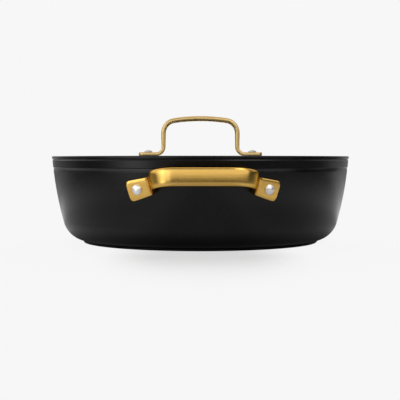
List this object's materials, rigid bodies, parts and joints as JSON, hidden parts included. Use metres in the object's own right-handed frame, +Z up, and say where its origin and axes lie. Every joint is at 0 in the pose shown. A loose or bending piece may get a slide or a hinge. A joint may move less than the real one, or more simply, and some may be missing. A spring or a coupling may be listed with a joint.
{
  "type": "braiser",
  "caption": "Low round lidded braiser with a curved wall, gold loop side handles riveted to the wall and a flat glass lid with a bent strap handle that lifts off.",
  "frame": {"origin": "centre of the underside of the base plate, on the surface that the pan stands on", "axes": "+Z up along the axis of the pan, side handles on -Y and +Y, lid handle along X"},
  "size_m": [0.3052, 0.3672, 0.1296],
  "materials": {
    "coated_aluminium": "satin black hard coating",
    "dark_steel": "dark satin",
    "gold_steel": "gold-tone, softly brushed",
    "bright_steel": "polished",
    "clear_glass": "clear tempered",
    "grey_silicone": "matt silicone"
  },
  "bodies": {
    "pan": {"pan_body": "coated_aluminium", "base_plate": "dark_steel", "front_handle": "gold_steel", "rear_handle": "gold_steel", "front_left_rivet": "bright_steel", "front_right_rivet": "bright_steel", "rear_left_rivet": "bright_steel", "rear_right_rivet": "bright_steel"},
    "lid": {"lid_glass": "clear_glass", "lid_rim_band": "bright_steel", "lid_handle": "gold_steel", "lid_left_rivet": "bright_steel", "lid_right_rivet": "bright_steel", "lid_left_bush": "grey_silicone", "lid_right_bush": "grey_silicone", "lid_left_seal": "grey_silicone", "lid_right_seal": "grey_silicone", "lid_left_washer": "bright_steel", "lid_right_washer": "bright_steel", "vent_eyelet": "bright_steel"}
  },
  "joints": [
    {"name": "lid_lift", "type": "slide", "parent": "pan", "child": "lid", "axis": [0, 0, 1], "range_m": [0, 0.15]}
  ]
}
